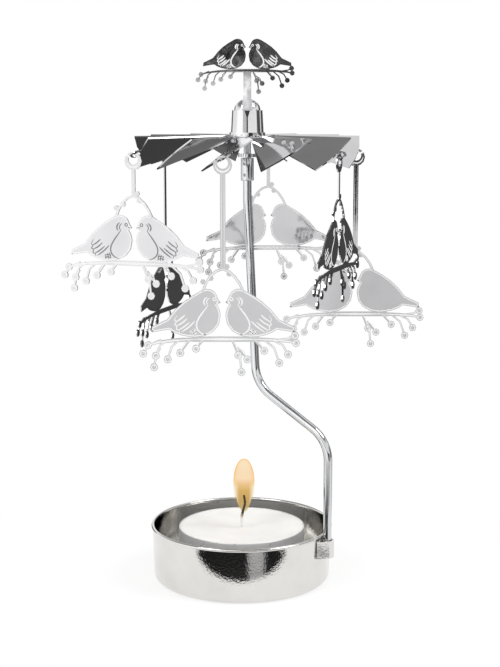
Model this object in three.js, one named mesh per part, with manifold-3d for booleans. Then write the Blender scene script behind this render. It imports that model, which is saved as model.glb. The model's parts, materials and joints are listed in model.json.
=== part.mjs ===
// Rotating candle holder: a tealight in a round tray, a bent wire stem, and a bladed wheel
// that turns on a needle and carries six hanging bird ornaments.
// Millimetres, +Z up. The origin is the centre of the tray's underside, and -Y is the front.

import * as THREE from 'three';
import { mergeVertices } from 'three/addons/utils/BufferGeometryUtils.js';
import Module from 'manifold-3d';

const wasm = await Module();
wasm.setup();

// Clearances
const SEAT_GAP = 0.3;
const SLEEVE_GAP = 0.3;
const RING_SIDE_PLAY = 0.1;

// Sheet that the wheel and the ornaments are etched from
const SHEET = 0.4;

// Tealight
const TEALIGHT_RADIUS = 19.25;
const TEALIGHT_HEIGHT = 15.2;
const TEALIGHT_WALL = 0.35;
const TEALIGHT_CORNER = 1.5;
const WAX_BELOW_RIM = 0.5;
const WAX_DISH = 0.6;
const SUSTAINER_RADIUS = 6.5;
const SUSTAINER_THICKNESS = 0.4;
const SUSTAINER_NECK_WALL = 0.6;
const SUSTAINER_NECK_HEIGHT = 3;
const WICK_RADIUS = 0.7;
const WICK_ABOVE_WAX = 10.5;
const WICK_LEAN = 1;

// Tray
const TRAY_FREE_GAP = 7.75;
const TRAY_HEIGHT = 17;
const TRAY_WALL = 0.5;
const TRAY_CORNER = 2;
const TRAY_DRAFT = 0.5;
const RIM_BEAD_RADIUS = 0.5;
const STRAP_BELOW_RIM = 1.4;
const STRAP_HEIGHT = 5.2;
const STRAP_HALF_SPAN = 4;

// Stem wire
const WIRE_RADIUS = 1.25;
const STEM_BEARING = THREE.MathUtils.degToRad(-28);
const STEM_KNEE_RISE = 28.8;
const STEM_SHOULDER_RISE = 15;
const STEM_POST_LENGTH = 63.9;
const STEM_BEND_RADIUS = 11;
const POST_OFFSET = 2;
const POST_LEAN = 3;
const POST_UPRIGHT_END = 8.7;
const WIRE_FACET_ANGLE = THREE.MathUtils.degToRad(12);

// Pivot on top of the stem
const SLEEVE_LENGTH = 6.6;
const SLEEVE_WALL = 0.35;
const WIRE_IN_SLEEVE = 3;
const CRIMP_RADIUS = 0.7;
const CRIMP_DEPTH = 0.2;
const CRIMP_INSET = 1.7;
const CRIMP_BEARING = THREE.MathUtils.degToRad(-115);
const COLLAR_BAND = 1.4;
const COLLAR_THICKNESS = 1;
const NEEDLE_RADIUS = 1.05;
const NEEDLE_TAPER = 7;
const NEEDLE_TIP_RADIUS = 0.15;

// Hub cap and the ring that clamps the wheel to it
const HUB_RUNNING_GAP = 3.3;
const CAP_BORE_RADIUS = 2.7;
const CAP_SPIGOT_WALL = 0.8;
const CAP_BODY_STEP = 1.35;
const CAP_FLANGE_LIP = 0.45;
const CAP_FLANGE_THICKNESS = 1;
const CAP_BODY_TAPER = 0.35;
const CAP_BODY_HEIGHT = 6.4;
const CAP_DOME_STEP = 0.6;
const CAP_DOME_HEIGHT = 3.4;
const CAP_BEARING_DEPTH = 1.2;
const CAP_SLOT_DEPTH = 1.7;
const CAP_SLOT_FLOOR = 0.9;
const CAP_SEAM_WIDTH = 0.4;
const CAP_SEAM_DEPTH = 0.8;
const CAP_SEAM_MOUTH = 1.8;
const CAP_SEAM_FLARE = 2;
const CLAMP_BAND = 1.2;
const CLAMP_THICKNESS = 0.9;

// Wheel: a disc cut into twisted blades
const WHEEL_RADIUS = 33;
const WHEEL_HUB_MARGIN = 0.9;
const BLADE_COUNT = 12;
const BLADE_SLIT_ANGLE = THREE.MathUtils.degToRad(0.2);
const FIRST_BLADE_BEARING = THREE.MathUtils.degToRad(-100);
const BLADE_ROOT_WIDTH = 2.3;
const BLADE_TWIST = THREE.MathUtils.degToRad(31);
const BLADE_DROOP = THREE.MathUtils.degToRad(9);
const BLADE_TWIST_LENGTH = 3.2;

// Ears on every second blade, and the rings that hook through them
const EAR_LIP = 0.55;
const EAR_HOLE_REACH = 1.2;
const RING_INNER_RADIUS = 1.5;
const RING_BAND = 0.7;
const RING_SAG = 0.45;
const RING_SPLIT = 0.5;
const RING_SPLIT_ANGLE = THREE.MathUtils.degToRad(30);

// Hanging ornaments
const ORNAMENT_YAWS = [0, 70, 0, 0, 70.7, -17.6].map(THREE.MathUtils.degToRad);
const LONG_DROP = 28.7;
const SHORT_DROP = 10.3;
const LONG_STRIP_WIDTH = 1.5;
const SHORT_STRIP_WIDTH = 1.1;

// Top figure
const TOP_STRIP_WIDTH = 2.3;
const TOP_STRIP_RISE = 8;

// Width of the two birds between their tail tips, on the ornaments and on the top figure
const ORNAMENT_SPAN = 39.8;
const TOP_FIGURE_SPAN = 25.8;

// Widths on a hanging ornament, which the top figure repeats at its own scale
const ARCH_WIDTH = 0.75;
const BRANCH_WIDTH = 1.5;
const BOUGH_WIDTH = 1.2;
const STALK_WIDTH = 0.6;
const BERRY_RADIUS = 1.15;
const BUD_RADIUS = 0.8;

// Materials
const chrome = (color) => new THREE.MeshStandardMaterial({ color, roughness: 0.12, metalness: 1 });
const trayChrome = chrome(0xd6d5d1);
const wireChrome = chrome(0xc9cacc);
const sheetChrome = chrome(0xbfc1c4);
const capChrome = chrome(0xd9dadc);
const foil = new THREE.MeshStandardMaterial({ color: 0xc4c5c6, roughness: 0.35, metalness: 1 });
const wax = new THREE.MeshStandardMaterial({ color: 0xf4f0e4, roughness: 0.55, metalness: 0 });
const cotton = new THREE.MeshStandardMaterial({ color: 0x5a4a38, roughness: 0.9, metalness: 0 });

// Booleans on closed meshes

const { Matrix4, Vector3 } = THREE;

function moved(geometry, ...matrices) {
  const place = matrices.reduce((whole, next) => whole.multiply(next), new Matrix4());
  return geometry.clone().applyMatrix4(place);
}

const shift = (x, y, z) => new Matrix4().makeTranslation(x, y, z);
const turnX = (angle) => new Matrix4().makeRotationX(angle);
const turnY = (angle) => new Matrix4().makeRotationY(angle);
const turnZ = (angle) => new Matrix4().makeRotationZ(angle);

function solid(geometry) {
  const bare = geometry.clone();
  bare.deleteAttribute('normal');
  bare.deleteAttribute('uv');
  const merged = mergeVertices(bare, 1e-4);
  const corners = merged.index.array;
  const kept = [];
  for (let i = 0; i < corners.length; i += 3) {
    const [a, b, c] = corners.slice(i, i + 3);
    if (a !== b && b !== c && c !== a) kept.push(a, b, c);
  }
  const vertProperties = new Float32Array(merged.attributes.position.array);
  return new wasm.Manifold(new wasm.Mesh({ numProp: 3, vertProperties, triVerts: new Uint32Array(kept) }));
}

// A join leaves flat faces split along the joined outlines, and this makes them whole again
const FLATNESS = 0.002;

function geometryOf(body) {
  const mesh = body.asOriginal().simplify(FLATNESS).getMesh();
  const geometry = new THREE.BufferGeometry();
  geometry.setAttribute('position', new THREE.BufferAttribute(new Float32Array(mesh.vertProperties), 3));
  geometry.setIndex(new THREE.BufferAttribute(new Uint32Array(mesh.triVerts), 1));
  geometry.computeVertexNormals();
  return geometry;
}

function join(...geometries) {
  return geometryOf(geometries.map(solid).reduce((whole, next) => whole.add(next)));
}

function cut(geometry, ...tools) {
  return geometryOf(tools.map(solid).reduce((whole, tool) => whole.subtract(tool), solid(geometry)));
}

function piece(name, geometry, material) {
  const mesh = new THREE.Mesh(geometry, material);
  mesh.name = name;
  return mesh;
}

// Shape helpers

function point(x, y) {
  return new THREE.Vector2(x, y);
}

function arcPoints(x, y, radius, from, to, steps) {
  const points = [];
  for (let i = 0; i <= steps; i += 1) {
    const angle = from + ((to - from) * i) / steps;
    points.push(point(x + radius * Math.cos(angle), y + radius * Math.sin(angle)));
  }
  return points;
}

function turned(profile, segments) {
  return join(moved(new THREE.LatheGeometry(profile, segments), turnX(Math.PI / 2)));
}

// A turned tube, from its bore to its outside
function tube(bore, radius, bottom, top, segments) {
  return turned([
    point(bore, bottom),
    point(radius, bottom),
    point(radius, top),
    point(bore, top),
    point(bore, bottom),
  ], segments);
}

function plate(shape, thickness, curveSegments) {
  const geometry = new THREE.ExtrudeGeometry(shape, { depth: thickness, bevelEnabled: false, curveSegments });
  return moved(geometry, shift(0, 0, -thickness / 2));
}

function disc(x, y, radius) {
  const shape = new THREE.Shape();
  shape.absarc(x, y, radius, 0, 2 * Math.PI);
  return shape;
}

// A flat band along a plane curve, tapering from one width to another
function band(curve, startWidth, endWidth, steps) {
  const left = [];
  const right = [];
  for (let i = 0; i <= steps; i += 1) {
    const t = i / steps;
    const at = curve.getPoint(t);
    const along = curve.getTangent(t);
    const half = (startWidth + (endWidth - startWidth) * t) / 2;
    left.push(point(at.x - along.y * half, at.y + along.x * half));
    right.unshift(point(at.x + along.y * half, at.y - along.x * half));
  }
  return new THREE.Shape([...left, ...right]);
}

// Tray with a rolled rim and a strap pressed out of its wall

const trayInside = TEALIGHT_RADIUS + TRAY_FREE_GAP;
const trayRadius = trayInside + TRAY_WALL;
const stemRadius = trayRadius + SEAT_GAP + WIRE_RADIUS;
const strapBottom = TRAY_HEIGHT - STRAP_BELOW_RIM - STRAP_HEIGHT;

function trayProfile() {
  const cornerX = trayRadius - TRAY_DRAFT - TRAY_CORNER;
  const beadX = trayRadius - TRAY_WALL / 2;
  const beadZ = TRAY_HEIGHT - RIM_BEAD_RADIUS;
  const beadStart = -Math.acos(TRAY_WALL / 2 / RIM_BEAD_RADIUS);
  return [
    point(0, 0),
    ...arcPoints(cornerX, TRAY_CORNER, TRAY_CORNER, -Math.PI / 2, 0, 3),
    ...arcPoints(beadX, beadZ, RIM_BEAD_RADIUS, beadStart, Math.PI - beadStart, 6),
    ...arcPoints(cornerX - TRAY_WALL, TRAY_CORNER + TRAY_WALL, TRAY_CORNER, 0, -Math.PI / 2, 2),
    point(0, TRAY_WALL),
  ];
}

// Plan outline of the strap: straight flanks that run into an arc around the wire
function strapOutline(radius, halfSpan, innerX) {
  const reach = stemRadius - trayRadius;
  const turn = Math.atan2(reach, halfSpan) + Math.asin(radius / Math.hypot(reach, halfSpan));
  const shape = new THREE.Shape();
  shape.moveTo(innerX, -halfSpan);
  shape.lineTo(trayRadius, -halfSpan);
  shape.absarc(stemRadius, 0, radius, -turn, turn, false);
  shape.lineTo(trayRadius, halfSpan);
  shape.lineTo(innerX, halfSpan);
  return shape;
}

function tray() {
  const settings = { depth: STRAP_HEIGHT, bevelEnabled: false, curveSegments: 4 };
  const upright = (shape) => moved(
    new THREE.ExtrudeGeometry(shape, settings),
    turnZ(STEM_BEARING),
    shift(0, 0, strapBottom),
  );
  const hollowRadius = WIRE_RADIUS + SEAT_GAP;
  const wallChord = Math.sqrt(trayInside ** 2 - STRAP_HALF_SPAN ** 2);
  const strap = strapOutline(hollowRadius + TRAY_WALL, STRAP_HALF_SPAN, wallChord + TRAY_WALL / 2);
  const window = strapOutline(hollowRadius, STRAP_HALF_SPAN - TRAY_WALL, wallChord - TRAY_WALL);
  return cut(join(turned(trayProfile(), 40), upright(strap)), upright(window));
}

// Stem: one bent wire in the upright plane through the axis and the strap. Its post leans in a little.

const kneeHeight = TRAY_HEIGHT + STEM_KNEE_RISE;
const shoulderHeight = kneeHeight + STEM_SHOULDER_RISE;
const stemTop = shoulderHeight + STEM_POST_LENGTH;

class BentWire extends THREE.Curve {
  constructor(corners, bendRadius) {
    super();
    this.legs = [];
    const straight = (from, to) => this.legs.push({ steps: 2, at: (t) => from.clone().lerp(to, t) });
    let start = corners[0];
    for (let i = 1; i < corners.length - 1; i += 1) {
      const into = corners[i].clone().sub(corners[i - 1]).normalize();
      const out = corners[i + 1].clone().sub(corners[i]).normalize();
      const turn = into.angleTo(out);
      const setback = bendRadius * Math.tan(turn / 2);
      const bendStart = corners[i].clone().addScaledVector(into, -setback);
      const side = out.clone().addScaledVector(into, -out.dot(into)).normalize();
      const centre = bendStart.clone().addScaledVector(side, bendRadius);
      straight(start, bendStart);
      this.legs.push({
        steps: Math.ceil(turn / WIRE_FACET_ANGLE),
        at: (t) => centre.clone()
          .addScaledVector(into, bendRadius * Math.sin(turn * t))
          .addScaledVector(side, -bendRadius * Math.cos(turn * t)),
      });
      start = corners[i].clone().addScaledVector(out, setback);
    }
    straight(start, corners[corners.length - 1]);
    this.steps = this.legs.reduce((sum, leg) => sum + leg.steps, 0);
  }

  getPoint(t) {
    let step = t * this.steps;
    for (const leg of this.legs) {
      if (step <= leg.steps) return leg.at(step / leg.steps);
      step -= leg.steps;
    }
    return this.legs[this.legs.length - 1].at(1);
  }

  getUtoTmapping(u) {
    return u;
  }
}

function rod(curve, radius, steps, sides) {
  const section = new THREE.Shape(arcPoints(0, 0, radius, 0, 2 * Math.PI, sides).slice(0, sides));
  return join(new THREE.ExtrudeGeometry(section, { extrudePath: curve, steps, bevelEnabled: false }));
}

// A point above the tray's middle, moved towards the strap
const beside = (reach, z) => new Vector3(reach, 0, z).applyMatrix4(turnZ(STEM_BEARING));

function stem() {
  const path = new BentWire([
    beside(stemRadius, strapBottom + SEAT_GAP),
    beside(stemRadius, kneeHeight),
    beside(POST_OFFSET + POST_LEAN, shoulderHeight),
    beside(POST_OFFSET, stemTop - POST_UPRIGHT_END),
    beside(POST_OFFSET, stemTop),
  ], STEM_BEND_RADIUS);
  return rod(path, WIRE_RADIUS, path.steps, 10);
}

// Pivot: a crimped sleeve, a collar and a needle

const sleeveBore = Math.max(WIRE_RADIUS, NEEDLE_RADIUS) + SLEEVE_GAP;
const sleeveRadius = sleeveBore + SLEEVE_WALL;
const sleeveBottom = stemTop - WIRE_IN_SLEEVE;
const sleeveTop = sleeveBottom + SLEEVE_LENGTH;
const collarBore = NEEDLE_RADIUS + SEAT_GAP;
const collarBottom = sleeveTop + SEAT_GAP;
const collarTop = collarBottom + COLLAR_THICKNESS;

function sleeve() {
  const reach = sleeveRadius + CRIMP_RADIUS - CRIMP_DEPTH;
  const dimples = [sleeveBottom + CRIMP_INSET, sleeveTop - CRIMP_INSET].map((z) => moved(
    new THREE.SphereGeometry(CRIMP_RADIUS, 10, 8),
    turnZ(CRIMP_BEARING),
    shift(reach, 0, z),
  ));
  return cut(tube(sleeveBore, sleeveRadius, sleeveBottom, sleeveTop, 20), ...dimples);
}

function collar() {
  return tube(collarBore, collarBore + COLLAR_BAND, collarBottom, collarTop, 20);
}

// Heights of the hub, from the collar up
const clampBottom = collarTop + HUB_RUNNING_GAP;
const clampTop = clampBottom + CLAMP_THICKNESS;
const wheelHeight = clampTop + SEAT_GAP + SHEET / 2;
const flangeBottom = wheelHeight + SHEET / 2 + SEAT_GAP;
const bodyBottom = flangeBottom + CAP_FLANGE_THICKNESS;
const bodyTop = bodyBottom + CAP_BODY_HEIGHT;
const domeTop = bodyTop + CAP_DOME_HEIGHT;
const slotBottom = bodyTop - CAP_SLOT_DEPTH;
const bearingTop = slotBottom - CAP_SLOT_FLOOR;

// Radii of the hub, from the bore out
const spigotRadius = CAP_BORE_RADIUS + CAP_SPIGOT_WALL;
const capRadius = spigotRadius + CAP_BODY_STEP;
const flangeRadius = capRadius + CAP_FLANGE_LIP;
const capTopRadius = capRadius - CAP_BODY_TAPER;
const domeRadius = capTopRadius - CAP_DOME_STEP;
const clampBore = spigotRadius + SEAT_GAP;
const clampRadius = clampBore + CLAMP_BAND;
const wheelHubRadius = Math.max(flangeRadius, clampRadius) + WHEEL_HUB_MARGIN;

function needle() {
  const bottom = stemTop + SEAT_GAP;
  const tip = bearingTop - SEAT_GAP;
  return turned([
    point(0, bottom),
    point(NEEDLE_RADIUS, bottom),
    point(NEEDLE_RADIUS, tip - NEEDLE_TAPER),
    point(NEEDLE_TIP_RADIUS, tip - NEEDLE_TIP_RADIUS),
    point(0, tip),
  ], 16);
}

const slotWidth = TOP_STRIP_WIDTH + 2 * SEAT_GAP;
const slotThickness = SHEET + 2 * SEAT_GAP;

// Bell-shaped cap: its bearing cone rides on the needle, its dome is notched for the top figure,
// and a seam with a flared mouth runs down its front
function hubCap() {
  const dome = arcPoints(0, 0, 1, 0, Math.PI / 2, 5).map(({ x, y }) => (
    point(y === 1 ? 0 : domeRadius * x, bodyTop + CAP_DOME_HEIGHT * y)
  ));
  const bell = turned([
    point(0, bearingTop),
    point(CAP_BORE_RADIUS, bearingTop - CAP_BEARING_DEPTH),
    point(CAP_BORE_RADIUS, clampBottom),
    point(spigotRadius, clampBottom),
    point(spigotRadius, flangeBottom),
    point(flangeRadius, flangeBottom),
    point(flangeRadius, bodyBottom),
    point(capRadius, bodyBottom),
    point(capTopRadius, bodyTop),
    ...dome,
  ], 24);
  const notchDepth = capRadius + slotThickness / 2;
  const notch = moved(
    new THREE.BoxGeometry(slotWidth, notchDepth, 2 * CAP_DOME_HEIGHT),
    shift(0, (slotThickness - notchDepth) / 2, bodyTop + CAP_DOME_HEIGHT),
  );
  const slot = moved(
    new THREE.BoxGeometry(slotWidth, slotThickness, 2 * CAP_SLOT_DEPTH),
    shift(0, 0, bodyTop),
  );
  const seamShape = new THREE.Shape();
  seamShape.moveTo(-CAP_SEAM_WIDTH / 2, bodyBottom);
  seamShape.lineTo(CAP_SEAM_WIDTH / 2, bodyBottom);
  seamShape.lineTo(CAP_SEAM_WIDTH / 2, bodyTop - CAP_SEAM_FLARE);
  seamShape.lineTo(CAP_SEAM_MOUTH / 2, bodyTop + SEAT_GAP);
  seamShape.lineTo(-CAP_SEAM_MOUTH / 2, bodyTop + SEAT_GAP);
  seamShape.lineTo(-CAP_SEAM_WIDTH / 2, bodyTop - CAP_SEAM_FLARE);
  const seam = moved(plate(seamShape, 2 * CAP_SEAM_DEPTH), shift(0, -capRadius, 0), turnX(Math.PI / 2));
  return cut(bell, notch, slot, seam);
}

function clampRing() {
  return tube(clampBore, clampRadius, clampBottom, clampTop, 24);
}

// Wheel: each blade twists and droops out of the hub disc along its own middle line

const bladeBend = (share) => shift(wheelHubRadius, 0, wheelHeight)
  .multiply(turnY(BLADE_DROOP * share))
  .multiply(turnX(BLADE_TWIST * share))
  .multiply(shift(-wheelHubRadius, 0, 0));

// A closed slab over a grid: each place gives a point of the flat sheet and how it is bent
function bentSheet(rows, columns, place) {
  const positions = [];
  const index = [];
  const across = columns + 1;
  const layer = (rows + 1) * across;
  for (const side of [-1, 1]) {
    for (let row = 0; row <= rows; row += 1) {
      for (let column = 0; column <= columns; column += 1) {
        const { flat, bend } = place(row, (2 * column) / columns - 1);
        const corner = new Vector3(flat.x, flat.y, (side * SHEET) / 2).applyMatrix4(bend);
        positions.push(corner.x, corner.y, corner.z);
      }
    }
  }
  const under = (row, column) => row * across + column;
  const over = (row, column) => layer + under(row, column);
  const quad = (a, b, c, d) => index.push(a, b, c, a, c, d);
  const edge = (a, b) => quad(under(...b), under(...a), over(...a), over(...b));
  for (let row = 0; row < rows; row += 1) {
    for (let column = 0; column < columns; column += 1) {
      quad(over(row, column), over(row + 1, column), over(row + 1, column + 1), over(row, column + 1));
      quad(under(row, column), under(row, column + 1), under(row + 1, column + 1), under(row + 1, column));
    }
    edge([row + 1, 0], [row, 0]);
    edge([row, columns], [row + 1, columns]);
  }
  for (let column = 0; column < columns; column += 1) {
    edge([0, column], [0, column + 1]);
    edge([rows, column + 1], [rows, column]);
  }
  const geometry = new THREE.BufferGeometry();
  geometry.setAttribute('position', new THREE.Float32BufferAttribute(positions, 3));
  geometry.setIndex(index);
  return geometry;
}

function blade() {
  const halfAngle = Math.PI / BLADE_COUNT - BLADE_SLIT_ANGLE / 2;
  const rootHalfWidth = BLADE_ROOT_WIDTH / 2;
  const spread = (WHEEL_RADIUS * Math.sin(halfAngle) - rootHalfWidth) / (WHEEL_RADIUS - wheelHubRadius);
  const rows = [
    wheelHubRadius - WHEEL_HUB_MARGIN,
    wheelHubRadius,
    wheelHubRadius + BLADE_TWIST_LENGTH / 2,
    wheelHubRadius + BLADE_TWIST_LENGTH,
    WHEEL_RADIUS,
  ];
  return bentSheet(rows.length - 1, 3, (row, across) => {
    const radius = rows[row];
    const beyondHub = Math.max(radius - wheelHubRadius, 0);
    const angle = across * Math.asin((rootHalfWidth + spread * beyondHub) / radius);
    const share = THREE.MathUtils.smoothstep(beyondHub, 0, BLADE_TWIST_LENGTH);
    return { flat: point(radius * Math.cos(angle), radius * Math.sin(angle)), bend: bladeBend(share) };
  });
}

// A ring hangs with its middle below the lip of its ear, and passes through the ear's hole.
// Its band grows wider towards its foot. The hole takes its size from where the ring crosses the ear.
const ringRadius = RING_INNER_RADIUS + RING_BAND + RING_SAG;
const ringHang = Math.sqrt((RING_INNER_RADIUS - SEAT_GAP) ** 2 - (EAR_LIP / 2) ** 2) - SHEET / 2;
const ringChord = Math.sqrt(ringRadius ** 2 - (ringHang - SHEET / 2 + RING_SAG) ** 2);
const earHoleRadius = (ringChord - EAR_LIP / 2 + SEAT_GAP + RING_SIDE_PLAY) / 2;
const earRadius = earHoleRadius + EAR_LIP;
const earHoleAt = WHEEL_RADIUS + EAR_HOLE_REACH;

function eared(plainBlade) {
  const root = WHEEL_RADIUS - EAR_LIP;
  const tab = new THREE.Shape();
  tab.moveTo(root, -earRadius);
  tab.absarc(earHoleAt, 0, earRadius, -Math.PI / 2, Math.PI / 2, false);
  tab.lineTo(root, earRadius);
  const ear = moved(plate(tab, SHEET, 5), bladeBend(1));
  const hole = moved(plate(disc(earHoleAt, 0, earHoleRadius), 4 * SHEET, 6), bladeBend(1));
  return cut(join(plainBlade, ear), hole);
}

const bladeBearing = (number) => FIRST_BLADE_BEARING + (number * 2 * Math.PI) / BLADE_COUNT;

function wheel() {
  const hub = disc(0, 0, wheelHubRadius);
  hub.holes.push(disc(0, 0, spigotRadius + SEAT_GAP));
  const plain = blade();
  const withEar = eared(plain);
  const blades = [];
  for (let number = 0; number < BLADE_COUNT; number += 1) {
    blades.push(moved(number % 2 === 0 ? withEar : plain, turnZ(bladeBearing(number))));
  }
  return join(moved(plate(hub, SHEET, 16), shift(0, 0, wheelHeight)), ...blades);
}

// The bird drawing: two birds face to face on a berry branch, in units from the top of the arch.
// Each sprig runs from its root to its berry.

// The branch's left end, level and right end
const [branchLeft, branchLevel, branchRight] = [-8.5, -19.7, 10];
const boughs = [
  [-7, branchLevel, -20.8, -21.4],
  [8, branchLevel, 20.2, -20.8],
];
const sprigs = [
  [-17.2, -20, -22.2, -23.8],
  [-15.5, -20, -18.7, -24.4],
  [-17.4, -22.2, -19.2, -27.6],
  [-12.2, -19.9, -15.4, -25.4],
  [-9.2, -19.9, -11.9, -23.6],
  [-5.4, -19.9, -7.5, -22.4],
  [2.4, -19.9, 4.2, -24.2],
  [4, -22, 6.7, -25.4],
  [4, -23, 5.1, -29],
  [8.6, -19.9, 11.4, -23],
  [11.4, -19.9, 15.6, -26.4],
  [13.6, -19.9, 18, -24],
  [14.8, -20, 19.9, -18.7],
];
const buds = [
  [-3.3, -2.7],
  [-5.5, -3.7],
  [1.1, 0.5],
  [1.7, -1.5],
];

// Side 1 is the right-hand bird, and side -1 its mirror image
function bird(side) {
  const outline = new THREE.Shape();
  outline.moveTo(side * 0.6, -9.4);
  outline.quadraticCurveTo(side * 1.5, -8.3, side * 1.6, -7.6);
  outline.bezierCurveTo(side * 2.1, -5.9, side * 4.2, -5.1, side * 5.8, -6);
  outline.bezierCurveTo(side * 9.6, -8.1, side * 12.4, -9.8, side * 15.5, -14.2);
  outline.lineTo(side * 19.7, -16.2);
  outline.lineTo(side * 19.9, -17.8);
  outline.quadraticCurveTo(side * 16.8, -17.3, side * 14.9, -17);
  outline.bezierCurveTo(side * 13.2, -18.4, side * 10.4, -19.1, side * 7.6, -19.2);
  outline.bezierCurveTo(side * 3.6, -19.2, side * 0.5, -16.6, side * 0.65, -13.2);
  outline.quadraticCurveTo(side * 0.7, -11.2, side * 1.7, -10.1);
  return outline;
}

// One unit in millimetres, from the tail tips' reach
const unit = ORNAMENT_SPAN / (2 * Math.max(...bird(1).getPoints(1).map(({ x }) => x)));
const inUnits = (length) => length / unit;
const flatScale = (factor) => new Matrix4().makeScale(factor, factor, 1);

// Short sprigs are straight, and longer ones bow
const bowSteps = (curve) => (curve.getLength() > 5 ? 2 : 1);

function stalk(fromX, fromY, toX, toY) {
  const bow = point(fromX + 0.8 * (toX - fromX), fromY + 0.2 * (toY - fromY));
  return new THREE.QuadraticBezierCurve(point(fromX, fromY), bow, point(toX, toY));
}

function birdPair() {
  const bar = new THREE.LineCurve(point(branchLeft, branchLevel), point(branchRight, branchLevel));
  const barWidth = inUnits(BRANCH_WIDTH);
  const boughWidth = inUnits(BOUGH_WIDTH);
  const stalkWidth = inUnits(STALK_WIDTH);
  const berryRadius = inUnits(BERRY_RADIUS);
  const parts = [
    plate(bird(1), SHEET, 4),
    plate(bird(-1), SHEET, 4),
    plate(band(bar, barWidth, barWidth, 1), SHEET),
    ...boughs.map((bough) => plate(band(stalk(...bough), boughWidth, stalkWidth, 3), SHEET)),
    ...sprigs.map((sprig) => stalk(...sprig)).map((curve) => (
      plate(band(curve, stalkWidth, stalkWidth, bowSteps(curve)), SHEET)
    )),
    ...[...boughs, ...sprigs].map(([, , x, y]) => plate(disc(x, y, berryRadius), SHEET, 4)),
  ];
  return moved(join(...parts), flatScale(unit));
}

function arch() {
  const width = inUnits(ARCH_WIDTH);
  const budRadius = inUnits(BUD_RADIUS);
  const rib = (bendX, bendY, footX) => new THREE.QuadraticBezierCurve(
    point(0, -0.1),
    point(bendX, bendY),
    point(footX, -6.6),
  );
  const ribs = [rib(3.6, -1.2, 5.7), rib(-4.1, -0.8, -5.6)];
  const parts = [
    ...ribs.map((curve) => plate(band(curve, width, width, 4), SHEET)),
    ...buds.map(([x, y]) => plate(disc(x, y, budRadius), SHEET, 3)),
  ];
  return moved(join(...parts), flatScale(unit));
}

function uprightStrip(width, bottom, top) {
  return plate(band(new THREE.LineCurve(point(0, bottom), point(0, top)), width, width, 1), SHEET);
}

// Hanging ornament, with its origin at the middle of its ring
function ornament(drop, stripWidth, splitAngle) {
  const ring = disc(0, -RING_SAG, ringRadius);
  ring.holes.push(disc(0, 0, RING_INNER_RADIUS));
  const split = moved(
    new THREE.BoxGeometry(2 * RING_BAND, RING_SPLIT, 2 * SHEET),
    turnZ(splitAngle),
    shift(RING_INNER_RADIUS + RING_BAND / 2, 0, 0),
  );
  return join(
    cut(plate(ring, SHEET, 6), split),
    uprightStrip(stripWidth, -drop - ARCH_WIDTH / 2, -RING_INNER_RADIUS - RING_BAND / 2),
    moved(arch(), shift(0, -drop, 0)),
    moved(birdPair(), shift(0, -drop, 0)),
  );
}

// Each ring hooks round the lip of its ear, on the side where the blade falls away
function ringPlace(bladeNumber, yaw) {
  const place = turnZ(bladeBearing(bladeNumber)).multiply(bladeBend(1));
  const hole = new Vector3(earHoleAt, 0, 0).applyMatrix4(place);
  const earNormal = new Vector3(0, 0, 1).transformDirection(place);
  const ornamentNormal = new Vector3(-Math.sin(yaw), Math.cos(yaw), 0);
  const downhill = earNormal.clone().cross(ornamentNormal).normalize();
  if (downhill.z > 0) downhill.negate();
  const below = ornamentNormal.clone().cross(downhill).normalize();
  if (below.z > 0) below.negate();
  const centre = hole.clone()
    .addScaledVector(downhill, earHoleRadius + EAR_LIP / 2)
    .addScaledVector(below, ringHang);
  const side = Math.sign(downhill.x * Math.cos(yaw) + downhill.y * Math.sin(yaw));
  return { centre, side };
}

// Long and short ornaments take turns on every second blade
function hangingOrnament(number) {
  const yaw = ORNAMENT_YAWS[number % ORNAMENT_YAWS.length];
  const { centre, side } = ringPlace(2 * number, yaw);
  const splitAngle = side > 0 ? RING_SPLIT_ANGLE : Math.PI - RING_SPLIT_ANGLE;
  const long = number % 2 === 0;
  const drop = long ? LONG_DROP : SHORT_DROP;
  const stripWidth = long ? LONG_STRIP_WIDTH : SHORT_STRIP_WIDTH;
  const mesh = piece(`bird_pendant_${number + 1}`, ornament(drop, stripWidth, splitAngle), sheetChrome);
  mesh.rotation.x = Math.PI / 2;
  const hanger = new THREE.Group();
  hanger.position.copy(centre);
  hanger.rotation.z = yaw;
  hanger.add(mesh);
  return hanger;
}

// Top figure: a smaller pair of birds on a strip that stands in the cap's slot
function topFigure() {
  const branchHeight = domeTop + TOP_STRIP_RISE;
  const shrink = flatScale(TOP_FIGURE_SPAN / ORNAMENT_SPAN);
  const birds = moved(birdPair(), shrink, shift(0, -unit * branchLevel, 0));
  const strip = uprightStrip(TOP_STRIP_WIDTH, slotBottom + SEAT_GAP - branchHeight, 0);
  const mesh = piece('top_bird_figure', join(birds, strip), sheetChrome);
  mesh.rotation.x = Math.PI / 2;
  mesh.position.z = branchHeight;
  return mesh;
}

// Tealight: foil cup, wax, wick sustainer and wick

const foilBottom = TRAY_WALL + SEAT_GAP;
const foilFloor = foilBottom + TEALIGHT_WALL;
const foilRim = foilBottom + TEALIGHT_HEIGHT;
const foilInside = TEALIGHT_RADIUS - TEALIGHT_WALL;
const sustainerBottom = foilFloor + SEAT_GAP;
const sustainerTop = sustainerBottom + SUSTAINER_THICKNESS;
const neckTop = sustainerTop + SUSTAINER_NECK_HEIGHT;
const wickHole = WICK_RADIUS + SEAT_GAP;
const neckRadius = wickHole + SUSTAINER_NECK_WALL;
const waxRim = foilRim - WAX_BELOW_RIM;
const waxMiddle = waxRim - WAX_DISH;

function roundedCorner(radius, bottom, from, to) {
  return arcPoints(radius - TEALIGHT_CORNER, bottom + TEALIGHT_CORNER, TEALIGHT_CORNER, from, to, 2);
}

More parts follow.
